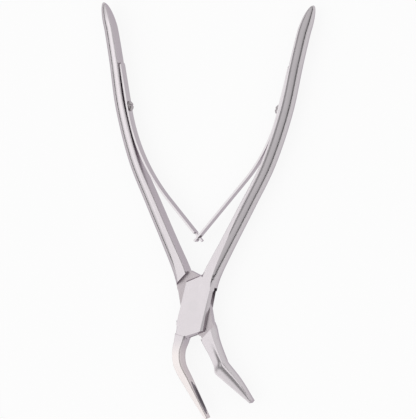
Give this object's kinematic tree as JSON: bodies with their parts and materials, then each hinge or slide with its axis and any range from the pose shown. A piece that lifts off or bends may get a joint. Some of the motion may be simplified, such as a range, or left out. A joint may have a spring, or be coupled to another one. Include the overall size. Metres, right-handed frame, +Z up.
{
  "type": "bone rongeur",
  "caption": "Box-lock bone rongeur with side-curved cup jaws, bowed half-round handles and crossing leaf springs that open it.",
  "frame": {"origin": "on the axis of the joint pin, on the underside of the box joint, where the instrument rests when it lies flat", "axes": "+Y towards the handles, +X to the side that the jaws curve to, +Z up through the thickness of the joint, along its pin"},
  "size_m": [0.0942, 0.1742, 0.009],
  "materials": {
    "satin_steel": "satin polished stainless steel",
    "pin_steel": "ground flush with the cheeks and satin polished",
    "spring_steel": "bright rolled spring strip",
    "screw_steel": "turned and polished"
  },
  "bodies": {
    "box_side": {"box_half": "satin_steel", "joint_pin": "pin_steel", "right_leaf_spring": "spring_steel", "right_spring_screw": "screw_steel"},
    "tongue_side": {"tongue_half": "satin_steel", "left_leaf_spring": "spring_steel", "left_spring_screw": "screw_steel"}
  },
  "joints": [
    {"name": "box_joint", "type": "hinge", "parent": "box_side", "child": "tongue_side", "pos_m": [0, 0, 0.0045], "axis": [0, 0, 1], "range_deg": [-24, 0], "stiffness_Nm_per_rad": 1.5, "springref_deg": 2.86, "deforming": ["left_leaf_spring", "right_leaf_spring"]}
  ]
}
